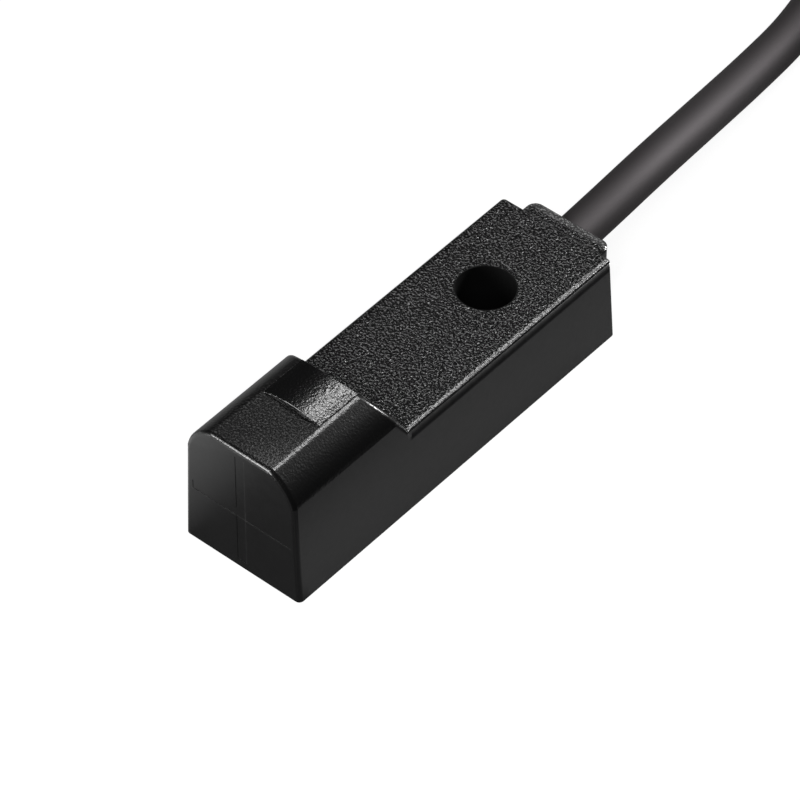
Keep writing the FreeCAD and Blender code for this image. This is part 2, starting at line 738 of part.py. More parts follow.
# Wires of the cable: they leave the jacket, pass both sides of the tube and reach the board.
def make_wires():
    """Three insulated wires, their bared ends and the solder joints that hold them."""
    beside_axis = (cell.wire_diameter + cell.wire_gap) / 2
    tight = beside_axis * 2 / math.sqrt(3)
    lane_top = (TUBE_RADIUS + side_at(cell.board_top + cell.wire_diameter) - cell.wall) / 2
    lane_low = (TUBE_RADIUS + side_at(BOARD_LOW - cell.wire_diameter) - cell.wall) / 2
    over = cell.board_top + cell.wire_diameter / 2
    under = BOARD_LOW - cell.wire_diameter / 2
    pad_x = BOARD_HALF - cell.joint_foot / 2
    wires = (
        ("wire_brown", -1, lane_top, over, -beside_axis, tight / 2),
        ("wire_black", 1, lane_top, over, beside_axis, tight / 2),
        ("wire_blue", -1, lane_low, under, ZERO, -tight),
    )
    strands = []
    joints = []
    for label, side_sign, lane, height, x, z in wires:
        end = BOARD_REAR - cell.joint_foot - cell.strand_length / 2
        beside = HOLE_Y + TUBE_RADIUS / 2
        points = [
            at(x, JACKET_END, cell.cable_height + z),
            at(x, JACKET_END - cell.wire_diameter / 2, cell.cable_height + z),
            at(lane * side_sign, beside, height),
            at(lane * side_sign, HOLE_Y - TUBE_RADIUS / 2, height),
            at(pad_x * side_sign, BOARD_REAR - cell.board_clear, height),
            at(pad_x * side_sign, end + cell.strand_length, height),
        ]
        solid(label, wire_along(rounded_path(points), cell.wire_diameter.number, THIN_SIDES))
        tip = [at(pad_x * side_sign, end + cell.strand_length, height), at(pad_x * side_sign, end, height)]
        strand = wire_along(Part.Wire(Part.LineSegment(*tip).toShape()), cell.strand_diameter.number,
                            THIN_SIDES)
        strands.append(strand)
        below = height.number < BOARD_LOW.number
        foot_z = BOARD_LOW if below else cell.board_top
        joints.append((pad_x * side_sign, end + cell.joint_foot / 3, foot_z, below, strand))
    solid("bared_strands", Part.makeCompound(strands))
    return joints


def make_joints(wire_joints, lead_ends):
    """Solder joints, each with the strand or the lead inside it taken out of it."""
    shapes = []
    for x, y, z, below, strand in wire_joints:
        item = mound(x, y, z, cell.joint_foot, cell.joint_height, below)
        doc.recompute()
        shapes.append(item.Shape.cut(strand))
        doc.removeObject(item.Name)
    leads = doc.getObjectsByLabel("coil_leads")[0].Shape
    for x, y in lead_ends:
        item = mound(x, y, cell.board_top, cell.bead_foot, cell.bead_height)
        doc.recompute()
        shapes.append(item.Shape.cut(leads))
        doc.removeObject(item.Name)
    solid("solder_joints", Part.makeCompound(shapes))


# Cable: it leaves the boss, comes down to the surface and runs into a tied coil.
COIL_RADIUS = cell.coil_diameter / 2
COIL_DEPTH = cell.cable_diameter * cell.coil_columns
COIL_TALL = cell.cable_diameter * cell.coil_layers
OUTER_TURN = COIL_RADIUS + (COIL_DEPTH - cell.cable_diameter) / 2
RING_SIDES = 40
STUB = 10.0
COIL_CENTRE = (13.6, 70.5)
FREE_END_ANGLE = 60
FREE_END_REACH = 90
FREE_END_STEP = 8
WIRE_PLAY = 0.05
TIE_ANGLES = (70, 250)
ROUTE = (
    (0.0, 29.4, 3.85),
    (-0.45, 35.0, 3.95),
    (-1.25, 40.5, 3.0),
    (-2.25, 46.5, 1.9),
    (-2.85, 51.5, 1.65),
    (-3.9, 57.0, 1.65),
)


def make_cable():
    """The cable as far as the coil, then the coil as one ring with the cable's way into it."""
    ring_x, ring_y = COIL_CENTRE
    left = ring_x - OUTER_TURN.number
    level = (cell.tie_thickness + CABLE_RADIUS).number
    exit_point = (0.0, JACKET_END.number, cell.cable_height.number)
    arrival = (left, ring_y - STUB, level)
    points = [at(*spot) for spot in (exit_point,) + ROUTE + (arrival,)]
    path = rounded_path(points, report="cable")
    print("cable, straight and bent:", round(path.Length, 1))
    solid("cable", wire_along(path, cell.cable_diameter.number, JACKET_SIDES))

    centre = at(ring_x, ring_y, cell.tie_thickness)
    inner = (COIL_RADIUS - COIL_DEPTH / 2).number
    outer = (COIL_RADIUS + COIL_DEPTH / 2).number
    step = inner + cell.cable_diameter.number
    tall = COIL_TALL.number
    low = tall - cell.cable_diameter.number
    fit = math.cos(math.pi / RING_SIDES)
    ring = drum(centre, outer, 0, tall)
    ring = ring.cut(drum(centre, inner / fit, 0, tall)).cut(drum(centre, step / fit, low, tall))
    way_in = Part.makeCylinder(CABLE_RADIUS.number, STUB, at(*arrival), FreeCAD.Vector(0, 1, 0))
    solid("cable_coil", ring.fuse(way_in))
    make_ties(centre, inner, outer, tall)
    make_free_end(centre, inner, low)


def drum(centre, radius, low, high):
    """An upright body with many flat sides, its corners at that radius."""
    corners = []
    for index in range(RING_SIDES):
        angle = 2 * math.pi * index / RING_SIDES
        corners.append(centre + FreeCAD.Vector(radius * math.cos(angle), radius * math.sin(angle), low))
    face = Part.Face(Part.makePolygon(corners + corners[:1]))
    return face.extrude(FreeCAD.Vector(0, 0, high - low))


def make_ties(centre, inner, outer, tall):
    """Two flat ties round the coil, on opposite sides; the coil rests on them."""
    thick = cell.tie_thickness.number
    wide = cell.tie_width.number
    loop = Part.makeBox(outer - inner + 2 * thick, wide, tall + 2 * thick,
                        FreeCAD.Vector(inner - thick, -wide / 2, -thick))
    edges = [edge for edge in loop.Edges if abs(edge.tangentAt(0).y) > 0.9]
    loop = loop.makeFillet(thick, edges)
    room = Part.makeCylinder(outer, tall).cut(Part.makeCylinder(inner, tall))
    ties = []
    for angle in TIE_ANGLES:
        tie = loop.cut(room)
        tie.rotate(FreeCAD.Vector(), FreeCAD.Vector(0, 0, 1), angle)
        tie.translate(centre)
        ties.append(tie)
    solid("coil_ties", Part.makeCompound(ties))


def make_free_end(centre, inner, low):
    """The three wires past the end of the jacket, laid in the last place on the coil."""
    radius = cell.wire_diameter.number / 2
    turn = inner + CABLE_RADIUS.number
    height = low + radius
    tips = []
    for index, name in enumerate(("brown", "black", "blue")):
        track = turn + (index - 1) * (2 * radius + WIRE_PLAY)
        reach = FREE_END_REACH + FREE_END_STEP * index
        ring = Part.Circle(centre + FreeCAD.Vector(0, 0, height), FreeCAD.Vector(0, 0, 1), track)
        start = math.radians(FREE_END_ANGLE)
        end = math.radians(FREE_END_ANGLE - reach)
        last = end - cell.tip_length.number / track
        covered = Part.ArcOfCircle(ring, end, start).toShape()
        bare = Part.ArcOfCircle(ring, last, end).toShape()
        solid("free_wire_" + name, wire_along(Part.Wire(covered), 2 * radius, THIN_SIDES))
        tips.append(wire_along(Part.Wire(bare), cell.tip_diameter.number, THIN_SIDES))
    solid("tinned_tips", Part.makeCompound(tips))


def make_ring():
    """The crimp ring that keeps the jacket from being pulled through its bore."""
    inner = CABLE_RADIUS
    outer = RING_RADIUS
    rear = INNER_REAR - cell.bore_gap
    front = rear - cell.ring_length
    bevel = cell.ring_bevel
    turned("crimp_ring", cell.cable_height, [
        (inner, front), (outer - bevel, front), (outer, front + bevel),
        (outer, rear - bevel), (outer - bevel, rear), (inner, rear),
    ])


# Resin: it fills every space inside the housing, up to just under the rim.
def make_resin(housing, cavity):
    space = cavity.translated(FreeCAD.Vector(0, -OVERALL.number / 2, 0))
    size = OVERALL.number * 2
    tray = Part.makeBox(size, size, size, FreeCAD.Vector(-size / 2, -size / 2, cell.resin_recess.number))
    space = space.common(tray).cut(housing.Shape)
    held = (INNER_REAR - RELIEF_FRONT).number
    left = (OVERALL - INNER_REAR).number
    for radius, start, length in ((RING_RADIUS, RELIEF_FRONT, held), (CABLE_RADIUS, INNER_REAR, left)):
        room = Part.makeCylinder(radius.number + cell.bore_gap.number, length,
                                 at(ZERO, start, cell.cable_height), FreeCAD.Vector(0, 1, 0))
        space = space.cut(room)
    outside = {"housing", "cable_coil", "coil_ties", "tinned_tips"}
    space = max(space.Solids, key=lambda item: item.Volume)
    inside = [item for item in PIECES if item.Label not in outside and not item.Label.startswith("free_wire")]
    for piece in sorted(inside, key=lambda item: item.Label != "solder_joints"):
        space = space.cut(piece.Shape)
    solid("resin", max(space.Solids, key=lambda item: item.Volume))


housing, cavity = make_housing()
make_window()
lead_height, lead_start = make_coil()
lead_ends = make_coil_leads(lead_height, lead_start)
make_board()
make_ring()
wire_joints = make_wires()
make_joints(wire_joints, lead_ends)
make_cable()
doc.recompute()
make_resin(housing, cavity)
doc.recompute()

for item in doc.Objects:
    if "Invalid" in item.State or "Error" in item.State:
        raise RuntimeError(f"{item.Label}: {item.State}")
for piece in PIECES:
    if piece.Shape.isNull() or not piece.Shape.isValid():
        raise RuntimeError(f"{piece.Label}: its shape is missing or not valid")
for piece in PIECES:
    piece.Shape.exportStep(f"parts/{piece.Label}.step")
    print(piece.Label, len(piece.Shape.Solids), round(piece.Shape.Volume, 3))
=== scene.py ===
# %% [markdown]
# # A small inductive proximity switch
# The switch is one black moulding with a raised head over its sensing coil, filled with
# resin, and its cable leaves through a boss at the rear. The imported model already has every
# piece at its true size. This lesson gives each of them its finish, lays the cable as one
# smooth spline, winds the sensing coil, and lights the whole on a white ground.

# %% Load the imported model
import json
import math

import bmesh
import bpy
from mathutils import Matrix, Vector


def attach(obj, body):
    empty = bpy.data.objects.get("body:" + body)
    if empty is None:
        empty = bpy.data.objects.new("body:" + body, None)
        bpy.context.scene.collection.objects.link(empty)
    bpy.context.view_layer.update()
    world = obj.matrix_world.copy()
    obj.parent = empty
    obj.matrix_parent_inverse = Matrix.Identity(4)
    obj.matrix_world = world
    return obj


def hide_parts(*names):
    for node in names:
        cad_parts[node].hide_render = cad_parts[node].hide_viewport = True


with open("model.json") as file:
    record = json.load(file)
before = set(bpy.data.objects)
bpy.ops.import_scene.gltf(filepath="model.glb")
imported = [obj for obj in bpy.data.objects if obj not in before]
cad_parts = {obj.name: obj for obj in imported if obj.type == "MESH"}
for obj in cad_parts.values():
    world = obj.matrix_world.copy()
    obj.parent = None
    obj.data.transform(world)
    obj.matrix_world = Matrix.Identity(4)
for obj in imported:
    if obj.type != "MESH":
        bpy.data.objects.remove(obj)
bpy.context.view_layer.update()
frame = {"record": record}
MM = 0.001

# %% [markdown]
# ## The camera
# The view looks down on the front corner of the switch through a long lens. A camera can be
# turned by angles or by a target that it tracks. Here it is placed by its three axes, right,
# up and back, which are the columns of its matrix, because they were measured directly.

# %% Set the camera
RIGHT = Vector((0.7606, 0.6492, 0.0)).normalized()
TOWARDS_BACK = Vector((0.4519, -0.5294, 0.7181))
PLACE = Vector((125.03, -147.38, 201.34)) * MM
SENSOR_WIDTH = 36.0
FOCAL_POINTS = 5132.28
PICTURE_POINTS = 800

back = (TOWARDS_BACK - RIGHT * TOWARDS_BACK.dot(RIGHT)).normalized()
up = back.cross(RIGHT)
lens = bpy.data.cameras.new("camera")
lens.sensor_width = SENSOR_WIDTH
lens.lens = SENSOR_WIDTH * FOCAL_POINTS / PICTURE_POINTS
lens.clip_start = 0.01
lens.clip_end = 20.0
camera = bpy.data.objects.new("camera", lens)
bpy.context.scene.collection.objects.link(camera)
turned = Matrix((RIGHT, up, back)).transposed().to_4x4()
camera.matrix_world = Matrix.Translation(PLACE) @ turned
bpy.context.scene.camera = camera
print("lens", round(lens.lens, 1), "mm")

# %% [markdown]
# ## The cable
# The cable is a soft round jacket over three wires, about a metre long. A row of straight
# pieces would show its joints, so it is one NURBS spline, which keeps its length and bends
# smoothly. Its control points are the laid-out stretch and then the turns of the tied coil.
# The turns lie in three layers, and where one ends the cable steps over to the next place.

# %% Points of the laid-out stretch, in millimetres
CABLE_THICK = 2.5
ROUTE = (
    (0.0, 10.25, 3.85),
    (-0.16, 15.65, 3.92),
    (-0.45, 21.25, 3.95),
    (-1.22, 26.75, 2.98),
    (-2.09, 32.75, 1.89),
    (-2.58, 37.75, 1.65),
    (-3.9, 43.25, 1.65),
)
print("laid-out points:", len(ROUTE))

# %% Points of the coil's turns
COIL_CENTRE = (13.6, 56.75)
COLUMNS = (17.5, 15.0, 12.5, 10.0)
LAYERS = (1.65, 4.15, 6.65)
# Each step over: the degrees of winding where it starts and ends, its next column and layer.
STEPS = (
    (290, 340, 1, 0), (650, 700, 2, 0), (1010, 1060, 3, 0), (1310, 1360, 3, 1),
    (1610, 1660, 2, 1), (1970, 2020, 1, 1), (2330, 2380, 0, 1), (2630, 2680, 0, 2),
    (2930, 2980, 1, 2), (3290, 3340, 2, 2), (3650, 3700, 3, 2),
)
COIL_START = 180
LAST_TURN = 3720
TURN_STEP = 15


def eased(share):
    """The same share from 0 to 1, with a gentle start and end."""
    return share * share * (3 - 2 * share)


def between(first, second, share):
    """The value that lies that share of the way from the first to the second."""
    return first * (1 - share) + second * share


def swell(step):
    """How much further out the points of an arc lie, because a spline runs inside them."""
    return 4 / (3 + math.cos(math.radians(step)))


def on_coil(angle, radius, height):
    """A place round the coil's middle, in millimetres."""
    turn = math.radians(angle)
    return (COIL_CENTRE[0] + radius * math.cos(turn),
            COIL_CENTRE[1] + radius * math.sin(turn), height)


def coil_place(wound):
    """Radius and height of the cable's centre after that many degrees of winding."""
    column, layer = 0, 0
    for start, end, next_column, next_layer in STEPS:
        if wound >= end:
            column, layer = next_column, next_layer
        elif wound > start:
            share = eased((wound - start) / (end - start))
            return (between(COLUMNS[column], COLUMNS[next_column], share),
                    between(LAYERS[layer], LAYERS[next_layer], share))
    return COLUMNS[column], LAYERS[layer]


def coil_points():
    """Control points of all the turns, in millimetres."""
    points = []
    for index in range(LAST_TURN // TURN_STEP + 1):
        wound = index * TURN_STEP
        radius, height = coil_place(wound)
        points.append(on_coil(COIL_START - wound, radius * swell(TURN_STEP), height))
    return points


turns = coil_points()
print("coil points:", len(turns))


# %% Make the cable
SPLINE_ORDER = 3
POINT_STEPS = 6
HALF_ROUND_STEPS = 8


def spline_object(name, points, thick):
    """A round line along control points in millimetres."""
    curve = bpy.data.curves.new(name, "CURVE")
    curve.dimensions = "3D"
    spline = curve.splines.new("NURBS")
    spline.points.add(len(points) - 1)
    for point, place in zip(spline.points, points):
        point.co = (place[0] * MM, place[1] * MM, place[2] * MM, 1.0)
        point.radius = thick / 2 * MM
    spline.order_u = SPLINE_ORDER
    spline.use_endpoint_u = True
    spline.resolution_u = POINT_STEPS
    curve.bevel_depth = 1.0
    curve.bevel_resolution = HALF_ROUND_STEPS
    curve.use_fill_caps = True
    piece = bpy.data.objects.new(name, curve)
    bpy.context.scene.collection.objects.link(piece)
    return piece


def line_length(piece):
    """Length of a curve object's own line, in metres."""
    bare = piece.data.copy()
    bare.bevel_depth = 0
    probe = bpy.data.objects.new("probe", bare)
    mesh = bpy.data.meshes.new_from_object(probe)
    total = sum((mesh.vertices[a].co - mesh.vertices[b].co).length
                for a, b in (edge.vertices for edge in mesh.edges))
    bpy.data.objects.remove(probe)
    bpy.data.curves.remove(bare)
    bpy.data.meshes.remove(mesh)
    return total


cable = spline_object("cable_jacket", list(ROUTE) + turns, CABLE_THICK)
cable_length = line_length(cable)
print("cable length", round(cable_length, 4), "m")

# %% [markdown]
# ## The free wires
# The three wires come out of the jacket's end, spread side by side and lie on the coil's second
# layer. They are cords like the cable, so each of them is one spline too. It follows an arc
# round the coil, because a wire keeps the bend that the winding gave it.

# %% Lay the free wires
JACKET_END_ANGLE = COIL_START - LAST_TURN % 360 + 360
WIRE_THICK = 0.8
WIRE_HEIGHT = 5.8
WIRE_SPREAD = 0.85
WIRE_STEP = 7.5
SPREAD_STEPS = 3
HIDDEN_ANGLE = 1
# Each wire: its colour, its track, the degrees it reaches, and its place inside the jacket.
WIRES = (
    ("brown", -1, 90, (-0.42, 0.24)),
    ("black", 0, 98, (0.42, 0.24)),
    ("blue", 1, 106, (0.0, -0.48)),
)


def track_radius(column):
    """Radius of the arc that a wire follows round the coil's middle."""
    return COLUMNS[3] + column * WIRE_SPREAD


def wire_points(column, reach, inside):
    """From the wire's place inside the jacket down to its track, then along the track."""
    points = []
    for index in range(int(reach / WIRE_STEP) + 1):
        share = eased(max(0.0, min(1.0, (index - 0.5) / SPREAD_STEPS)))
        radius = between(COLUMNS[3] + inside[0], track_radius(column), share)
        height = between(LAYERS[2] + inside[1], WIRE_HEIGHT, share)
        angle = JACKET_END_ANGLE + HIDDEN_ANGLE - index * WIRE_STEP
        points.append(on_coil(angle, radius * swell(WIRE_STEP), height))
    points.append(on_coil(JACKET_END_ANGLE - reach, track_radius(column), WIRE_HEIGHT))
    return points


free_wires = {}
for shade, column, reach, inside in WIRES:
    wire = spline_object("lead_" + shade, wire_points(column, reach, inside), WIRE_THICK)
    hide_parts("free_wire_" + shade)
    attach(wire, "root")
    free_wires[shade] = wire
    print(wire.name, round(line_length(wire) / MM, 1), "mm")

# %% [markdown]
# ## The tinned tips
# The tinned tips are twisted strands. They could be seven thin splines, but solder fills the
# gaps between the strands, so one tree of Geometry Nodes sweeps a star with seven points
# along an arc, and turns it as it goes, which gives the twist. The same kind of tree winds
# the sensing coil later on.


# %% Geometry Nodes helpers
def plug(tree, socket, value):
    """Joins a socket to another one, or gives it a value of its own."""
    if isinstance(value, bpy.types.NodeSocket):
        tree.links.new(value, socket)
    elif socket.type == "RGBA" and len(value) == 3:
        socket.default_value = (*value, 1.0)
    else:
        socket.default_value = value


def new_node(tree, kind, values, settings, sockets):
    """A node: its settings first, then its sockets in order, then its sockets by name."""
    node = tree.nodes.new(kind)
    for key, value in (settings or {}).items():
        setattr(node, key, value)
    for socket, value in zip(node.inputs, values):
        plug(tree, socket, value)
    for key, value in sockets.items():
        label = key.replace("_", " ")
        socket = next(item for item in node.inputs if item.name == label and item.enabled)
        plug(tree, socket, value)
    return node


def add(tree, kind, *values, settings=None, **sockets):
    """The first output of a new node of the tree, or None where it has no output."""
    node = new_node(tree, kind, values, settings, sockets)
    return node.outputs[0] if node.outputs else None


def new_tree(name, sizes):
    """A node tree with a geometry output and one named input for each size."""
    tree = bpy.data.node_groups.new(name, "GeometryNodeTree")
    tree.interface.new_socket("Geometry", in_out="OUTPUT", socket_type="NodeSocketGeometry")
    for label, kind in sizes:
        tree.interface.new_socket(label, in_out="INPUT", socket_type="NodeSocket" + kind)
    tree.interface.new_socket("Finish", in_out="INPUT", socket_type="NodeSocketMaterial")
    return tree, tree.nodes.new("NodeGroupInput").outputs


def close_tree(tree, given, mesh):
    """Ends the tree in Realize Instances and Set Material."""
    real = add(tree, "GeometryNodeRealizeInstances", Geometry=mesh)
    dressed = add(tree, "GeometryNodeSetMaterial", Geometry=real, Material=given["Finish"])
    add(tree, "NodeGroupOutput", dressed)


def grow(name, tree, values):
    """A plain mesh object from a tree and the values of its inputs."""
    seed = bpy.data.objects.new(name, bpy.data.meshes.new(name + "_seed"))
    bpy.context.scene.collection.objects.link(seed)
    grower = seed.modifiers.new("grow", "NODES")
    grower.node_group = tree
    for item in tree.interface.items_tree:
        if item.in_out == "INPUT" and item.name in values:
            grower[item.identifier] = values[item.name]
    graph = bpy.context.evaluated_depsgraph_get()
    mesh = bpy.data.meshes.new_from_object(seed.evaluated_get(graph))
    seed.modifiers.clear()
    seed.data = mesh
    for face in mesh.polygons:
        face.use_smooth = True
    print(name, len(mesh.polygons), "faces")
    return seed


print("helpers for node trees ready")

# %% Twisted strands of the tips
STRANDS = 7
STRAND_GROOVE = 0.78
ARC_POINTS = 60
TIP_THICK = 0.5
TIP_LENGTH = 3.0
TWIST_PER_MM = 1.6
SAME_PLACE = 0.001 * MM


def strand_tree():
    """A star-shaped section swept along a line of the tree's own and turned on its way."""
    tree, given = new_tree("twisted_strands", (
        ("Radius", "Float"), ("Start", "Float"), ("Sweep", "Float"),
        ("Thickness", "Float"), ("Twist", "Float"), ("Centre", "Vector")))
    arc = add(tree, "GeometryNodeCurveArc", Resolution=ARC_POINTS, Radius=given["Radius"],
              Start_Angle=given["Start"], Sweep_Angle=given["Sweep"])
    along = add(tree, "GeometryNodeSplineParameter")
    turn = add(tree, "ShaderNodeMath", along, given["Twist"], settings={"operation": "MULTIPLY"})
    tilted = add(tree, "GeometryNodeSetCurveTilt", Curve=arc, Tilt=turn)
    inner = add(tree, "ShaderNodeMath", given["Thickness"], STRAND_GROOVE,
                settings={"operation": "MULTIPLY"})
    star = add(tree, "GeometryNodeCurveStar", Points=STRANDS,
               Outer_Radius=given["Thickness"], Inner_Radius=inner)
    section = add(tree, "GeometryNodeSubdivideCurve", Curve=star, Cuts=2)
    tube = add(tree, "GeometryNodeCurveToMesh", Curve=tilted, Profile_Curve=section,
               Fill_Caps=True)
    moved = add(tree, "GeometryNodeTransform", Geometry=tube, Translation=given["Centre"])
    close_tree(tree, given, moved)
    return tree


def join(name, pieces):
    """One object from several, in place."""
    work = bmesh.new()
    for piece in pieces:
        work.from_mesh(piece.data)
    bmesh.ops.remove_doubles(work, verts=work.verts, dist=SAME_PLACE)
    bmesh.ops.recalc_face_normals(work, faces=work.faces)
    mesh = bpy.data.meshes.new(name)
    work.to_mesh(mesh)
    work.free()
    for piece in pieces:
        bpy.data.objects.remove(piece)
    whole = bpy.data.objects.new(name, mesh)
    bpy.context.scene.collection.objects.link(whole)
    return whole


strands = strand_tree()
tips = []
for shade, column, reach, inside in WIRES:
    radius = track_radius(column)
    tips.append(grow("tip_" + shade, strands, {
        "Radius": radius * MM, "Start": math.radians(JACKET_END_ANGLE - reach),
        "Sweep": -TIP_LENGTH / radius, "Thickness": TIP_THICK / 2 * MM,
        "Twist": TWIST_PER_MM * TIP_LENGTH,
        "Centre": (COIL_CENTRE[0] * MM, COIL_CENTRE[1] * MM, WIRE_HEIGHT * MM)}))
tinned = join("tinned_strands", tips)
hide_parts("tinned_tips")
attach(tinned, "root")

# %% [markdown]
# ## Materials as short sentences
# A finish is a tree of shader nodes. It could be joined by hand, node by node, but sums of
# masks are easier to read as sums. So one small class wraps a socket and turns an expression
# such as 1 - mask into Math nodes, and another one makes all other nodes by one call.


# %% Shader maths
class Socket:
    """A shader socket that can be added, multiplied and so on."""

    def __init__(self, tree, socket):
        self.tree = tree
        self.socket = socket

    def maths(self, operation, other=None):
        """One Math node on this value, and on another where the operation takes two."""
        node = self.tree.nodes.new("ShaderNodeMath")
        node.operation = operation
        for socket, value in zip(node.inputs, (self, other)):
            if value is not None:
                plug(self.tree, socket, bare_socket(value))
        return Socket(self.tree, node.outputs[0])

    def __add__(self, other):
        return self.maths("ADD", other)

    __radd__ = __add__

    def __mul__(self, other):
        return self.maths("MULTIPLY", other)

    __rmul__ = __mul__

    def __sub__(self, other):
        return self.maths("SUBTRACT", other)

    def __rsub__(self, other):
        return (self * -1) + other

    def __truediv__(self, other):
        return self.maths("DIVIDE", other)

    def __pow__(self, other):
        return self.maths("POWER", other)

    def above(self, edge, blur):
        """0 below the edge and 1 above it, with a soft step as wide as blur."""
        return ((self - edge) / blur + 0.5).clamped()

    def clamped(self):
        """The value, kept from 0 to 1."""
        return self.most(0.0).maths("MINIMUM", 1.0)

    def size(self):
        """The value without its sign."""
        return self.maths("ABSOLUTE")

    def most(self, other):
        """The larger of two values."""
        return self.maths("MAXIMUM", other)


def bare_socket(value):
    """The Blender socket inside a Socket, and any other value as it is."""
    return value.socket if isinstance(value, Socket) else value


print("shader maths ready")


# %% Makers of shader nodes
class Nodes:
    """A shader tree whose nodes are all made by one method."""

    def __init__(self, tree):
        self.tree = tree
        tree.nodes.clear()

    def node(self, kind, *values, out=0, settings=None, **sockets):
        """Any node: its settings, then values or links for its sockets in order or by name."""
        values = [bare_socket(value) for value in values]
        sockets = {key: bare_socket(value) for key, value in sockets.items()}
        node = new_node(self.tree, kind, values, settings, sockets)
        return Socket(self.tree, node.outputs[out]) if node.outputs else node


class Finish(Nodes):
    """A material and the few calls that its patterns need."""

    def __init__(self, name):
        self.material = bpy.data.materials.new(name)
        self.material.use_nodes = True
        super().__init__(self.material.node_tree)
        self.output = self.node("ShaderNodeOutputMaterial")
        self.place = self.node("ShaderNodeTexCoord", out="Object")

    def show(self, shader):
        """Makes a shader the whole surface's."""
        self.shown = shader
        plug(self.tree, self.output.inputs["Surface"], shader.socket)

    def plastic(self, **sockets):
        """A shader of its own, which the surface shows only once it is asked to."""
        return self.node("ShaderNodeBsdfPrincipled", **sockets)

    def mix(self, mask, other):
        """Shows the other shader where the mask is 1, and what was there before elsewhere."""
        self.show(self.node("ShaderNodeMixShader", mask, self.shown, other))

    def noise(self, per_mm, detail=2.0, rough=0.5, place=None):
        """Soft random grain, so many grains to a millimetre."""
        return self.node("ShaderNodeTexNoise", Vector=place or self.place, Scale=per_mm / MM,
                         Detail=detail, Roughness=rough)

    def cells(self, per_mm):
        """Round pits that meet in sharp ridges, so many to a millimetre."""
        return self.node("ShaderNodeTexVoronoi", out="Distance", Vector=self.place,
                         Scale=per_mm / MM)

    def axis(self, name):
        """A coordinate of the surface, in millimetres."""
        return self.node("ShaderNodeSeparateXYZ", out=name, Vector=self.place) / MM

    def facing(self, name):
        """How far the surface faces along an axis, from -1 to 1."""
        normal = self.node("ShaderNodeNewGeometry", out="True Normal")
        return self.node("ShaderNodeSeparateXYZ", out=name, Vector=normal)

    def blend(self, amount, first, second):
        """A colour between two colours."""
        return self.node("ShaderNodeMix", out=2, settings={"data_type": "RGBA"},
                         Factor=amount, A=first, B=second)

    def relief(self, height, depth_mm):
        """Normals bent by a height between 0 and 1 that stands for a depth."""
        return self.node("ShaderNodeBump", Height=height, Distance=depth_mm * MM, Strength=1.0)


print("makers of shader nodes ready")

# %% [markdown]
# ## Ground and light
# A plain white ground would light the black walls from below and turn them grey. So it is a
# dark card with a white glow that only the camera sees, which looks white and still keeps the
# shadow. Black plastic shows mostly what it mirrors, so each lamp stands where its mirror
# image should lie: "key" and "glint" behind the switch make the tops sparkle, "low" draws the
# front edge, and "strip" is a slim lamp close to the cable, which gives it one soft band.
# "front" is the plain light on all colours. The walls mirror the ground around them, so its
# mirrored glow is brighter to the left of the sensing face, and the ground is dark beyond the
# right-hand side.

# %% The floor
FLOOR_HALF = 3
FLOOR_DROP = 0.02
FLOOR_GREY = (0.2, 0.2, 0.2)
FLOOR_DARK = (0.02, 0.02, 0.02)
# Each zone: the coordinate of its edge and the width of its soft step, in millimetres.
BEFORE_FACE = (-13.0, 1.0)
BESIDE_FACE = (-6.7, 6.0)
FAR_RIGHT = (10.0, 3.0)
LEFT_GLOW = 5.6
FRONT_DARK = 0.35
SEEN_GLOW = 0.87
MIRRORED_GLOW = 0.135


def make_floor():
    """A floor whose own glow is seen by the camera and in mirrors, and lights nothing."""
    corners = [(x * FLOOR_HALF, y * FLOOR_HALF, -FLOOR_DROP * MM)
               for x, y in ((-1, -1), (1, -1), (1, 1), (-1, 1))]
    mesh = bpy.data.meshes.new("floor")
    mesh.from_pydata(corners, [], [(0, 1, 2, 3)])
    floor = bpy.data.objects.new("floor", mesh)
    bpy.context.scene.collection.objects.link(floor)
    pale = Finish("floor_white")
    seen = pale.node("ShaderNodeLightPath", out="Is Camera Ray")
    through = pale.node("ShaderNodeLightPath", out="Is Transmission Ray")
    mirrored = pale.node("ShaderNodeLightPath", out="Is Glossy Ray")
    before_face = 1 - pale.axis("Y").above(*BEFORE_FACE)
    beside_face = pale.axis("X").above(*BESIDE_FACE)
    far_right = pale.axis("X").above(*FAR_RIGHT)
    card = before_face * ((1 - beside_face) * LEFT_GLOW - beside_face) + 1
    card = card * (1 - far_right)
    dark = far_right.most(before_face * beside_face * FRONT_DARK)
    lost = dark * FLOOR_GREY[0]
    glow = seen.most(through) * (lost + SEEN_GLOW) + mirrored * (MIRRORED_GLOW * card)
    matt = pale.plastic(Base_Color=pale.blend(dark, FLOOR_GREY, FLOOR_DARK), Roughness=0.9,
                        Specular_IOR_Level=0.0)
    extra = pale.node("ShaderNodeEmission", Strength=glow)
    pale.show(pale.node("ShaderNodeAddShader", matt, extra))
    mesh.materials.append(pale.material)


make_floor()
print("floor", 2 * FLOOR_HALF, "m wide")

# %% Sky and lamps
WHITE = (1.0, 1.0, 1.0)
SKY_LEVEL = 0.035
# Each lamp: its name, the way to it, its distance, its width and height, and its level.
# Lengths are in metres.
LAMPS = (
    ("key", (-0.12, 0.53, 0.84), 1.0, (0.2, 0.2), 0.27),
    ("glint", (-0.12, 0.53, 0.84), 0.95, (0.19, 0.19), 0.09),
    ("front", (0.45, -0.53, 0.72), 1.0, (0.6, 0.6), 1.1),
    ("low", (-0.45, -0.82, 0.34), 0.6, (0.24, 0.4), 1.8),
    ("strip", (0.437, 0.705, 0.559), 0.065, (0.012, 0.036), 2.5),
)
# The kinds of ray that don't find a lamp: from plain colours, from mirrors or the camera's.
HIDDEN_FROM = {"glint": ("diffuse",), "front": ("glossy",), "low": ("diffuse",),
               "strip": ("diffuse", "camera")}
STRIP_SHIFT = Vector((-1.0, 26.0, 3.0)) * MM


